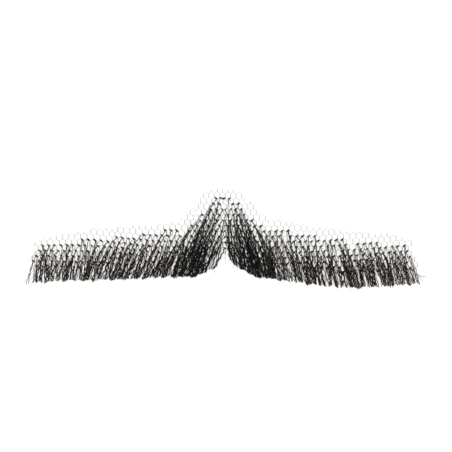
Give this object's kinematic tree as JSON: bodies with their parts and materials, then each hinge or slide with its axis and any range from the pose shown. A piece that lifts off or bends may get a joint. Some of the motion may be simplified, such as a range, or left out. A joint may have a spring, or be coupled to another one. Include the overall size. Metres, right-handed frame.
{
  "type": "fake moustache",
  "caption": "Hand-tied false moustache: dark hair knotted to a strip of pale hexagonal net, swept outward from a centre parting and trimmed below, with a bare net margin above.",
  "frame": {"origin": "on the net's underside, on the line of the parting, half way between the net's highest point and the lowest hair tips", "axes": "+X along the moustache to the right as seen from its hairy side, +Y up the face towards the nose, +Z away from the skin; it lies on its back, net down"},
  "size_m": [0.1179, 0.0308, 0.0039],
  "materials": {
    "net": "matte",
    "under_hair": "satin",
    "over_hair": "satin"
  },
  "bodies": {
    "root": {"net_base": "net", "left_under_hair": "under_hair", "left_over_hair": "over_hair", "right_under_hair": "under_hair", "right_over_hair": "over_hair"}
  },
  "joints": []
}
